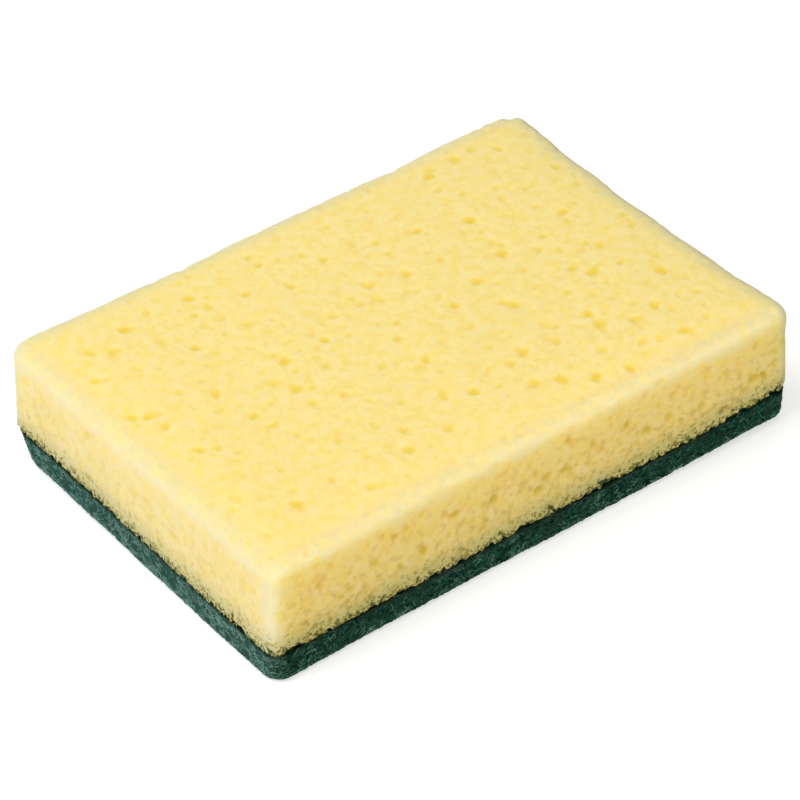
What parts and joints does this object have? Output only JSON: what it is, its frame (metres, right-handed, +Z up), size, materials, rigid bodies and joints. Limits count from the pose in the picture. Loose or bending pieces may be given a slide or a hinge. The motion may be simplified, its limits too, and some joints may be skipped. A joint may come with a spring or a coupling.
{
  "type": "cleaning sponge",
  "caption": "Rectangular cleaning sponge: a block of soft open-cell foam bonded to a flat non-woven scouring pad of the same outline.",
  "frame": {"origin": "middle of the scouring pad's lower face, on the surface that the sponge lies on", "axes": "+X along the length, +Y across the width, +Z up from the scouring pad to the foam"},
  "size_m": [0.14, 0.096, 0.031],
  "materials": {
    "foam": "pale yellow open-cell foam, cut, matte and slightly translucent",
    "scouring_web": "dark green resin-bonded fibre web, coarse and matte"
  },
  "bodies": {
    "root": {"foam_block": "foam", "scouring_pad": "scouring_web"}
  },
  "joints": []
}
